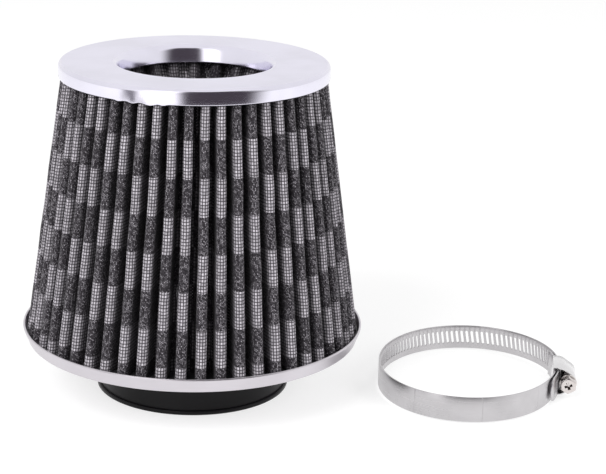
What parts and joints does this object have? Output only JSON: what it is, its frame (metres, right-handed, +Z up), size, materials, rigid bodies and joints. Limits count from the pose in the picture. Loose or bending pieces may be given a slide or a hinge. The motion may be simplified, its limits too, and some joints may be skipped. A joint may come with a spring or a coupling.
{
  "type": "cone air filter",
  "caption": "Tapered pleated air filter with an inverted inner cone, a rubber neck that slips over an intake pipe, and its loose worm-drive hose clamp.",
  "frame": {"origin": "centre of the neck's bore, on the neck's end face", "axes": "+Z up along the filter's axis towards the top ring, +X towards the loose hose clamp, -Y towards the clamp screw's head"},
  "size_m": [0.2579, 0.156, 0.1518],
  "materials": {
    "polished_aluminium": "polished stamping with a soft satin top",
    "satin_aluminium": "satin sheet",
    "filter_fabric": "black cotton gauze with a woven check",
    "screen_wire": "fine woven wire",
    "sealant": "cast dark sealant",
    "plated_steel": "zinc-plated sheet",
    "neck_rubber": "satin black moulding",
    "clamp_steel": "bright rolled strip",
    "screw_steel": "bright plated"
  },
  "bodies": {
    "filter": {"top_ring": "polished_aluminium", "top_sealant": "sealant", "outer_fabric": "filter_fabric", "outer_screen": "screen_wire", "outer_seam_clip": "plated_steel", "inner_fabric": "filter_fabric", "inner_screen": "screen_wire", "inner_seam_clip": "plated_steel", "inner_cone_sealant": "sealant", "inner_cone_cup": "plated_steel", "base_ring": "satin_aluminium", "base_sealant": "sealant", "neck_washer": "plated_steel", "neck": "neck_rubber"},
    "clamp_housing": {"clamp_housing": "clamp_steel", "clamp_band_1": "clamp_steel"},
    "clamp_screw": {"clamp_screw": "screw_steel"},
    "band_2": {"clamp_band_2": "clamp_steel"},
    "band_3": {"clamp_band_3": "clamp_steel"},
    "band_4": {"clamp_band_4": "clamp_steel"},
    "band_5": {"clamp_band_5": "clamp_steel"},
    "band_6": {"clamp_band_6": "clamp_steel"},
    "band_7": {"clamp_band_7": "clamp_steel"},
    "band_8": {"clamp_band_8": "clamp_steel"},
    "band_9": {"clamp_band_9": "clamp_steel"}
  },
  "joints": [
    {"name": "clamp_lift", "type": "slide", "parent": "filter", "child": "clamp_housing", "axis": [0, 0, 1], "range_m": [0, 0.06]},
    {"name": "screw_turn", "type": "hinge", "parent": "clamp_housing", "child": "clamp_screw", "pos_m": [0.17484, -0.01127, 0.0067], "axis": [0.1507, 0.9886, 0], "range_deg": [0, 1800]},
    {"name": "band_bend_1", "type": "hinge", "parent": "clamp_housing", "child": "band_2", "pos_m": [0.15545, -0.03922, 0.0067], "axis": [0, 0, -1], "range_deg": [0, 1.07]},
    {"name": "band_bend_2", "type": "hinge", "parent": "band_2", "child": "band_3", "pos_m": [0.12875, -0.05244, 0.0067], "axis": [0, 0, -1], "range_deg": [0, 1.48]},
    {"name": "band_bend_3", "type": "hinge", "parent": "band_3", "child": "band_4", "pos_m": [0.09979, -0.04201, 0.0067], "axis": [0, 0, -1], "range_deg": [0, 1.77]},
    {"name": "band_bend_4", "type": "hinge", "parent": "band_4", "child": "band_5", "pos_m": [0.08725, -0.01507, 0.0067], "axis": [0, 0, -1], "range_deg": [0, 1.93]},
    {"name": "band_bend_5", "type": "hinge", "parent": "band_5", "child": "band_6", "pos_m": [0.09189, 0.01253, 0.0067], "axis": [0, 0, -1], "range_deg": [0, 1.98]},
    {"name": "band_bend_6", "type": "hinge", "parent": "band_6", "child": "band_7", "pos_m": [0.11054, 0.03466, 0.0067], "axis": [0, 0, -1], "range_deg": [0, 1.91]},
    {"name": "band_bend_7", "type": "hinge", "parent": "band_7", "child": "band_8", "pos_m": [0.14105, 0.03964, 0.0067], "axis": [0, 0, -1], "range_deg": [0, 1.71]},
    {"name": "band_bend_8", "type": "hinge", "parent": "band_8", "child": "band_9", "pos_m": [0.16555, 0.02049, 0.0067], "axis": [0, 0, -1], "range_deg": [0, 1.4]}
  ],
  "couplings": [
    {"joint": "band_bend_1", "follows": "screw_turn", "ratio": 0.00058889},
    {"joint": "band_bend_2", "follows": "screw_turn", "ratio": 0.00081667},
    {"joint": "band_bend_3", "follows": "screw_turn", "ratio": 0.00097778},
    {"joint": "band_bend_4", "follows": "screw_turn", "ratio": 0.0010667},
    {"joint": "band_bend_5", "follows": "screw_turn", "ratio": 0.0010944},
    {"joint": "band_bend_6", "follows": "screw_turn", "ratio": 0.0010556},
    {"joint": "band_bend_7", "follows": "screw_turn", "ratio": 0.00094444},
    {"joint": "band_bend_8", "follows": "screw_turn", "ratio": 0.00077222}
  ]
}
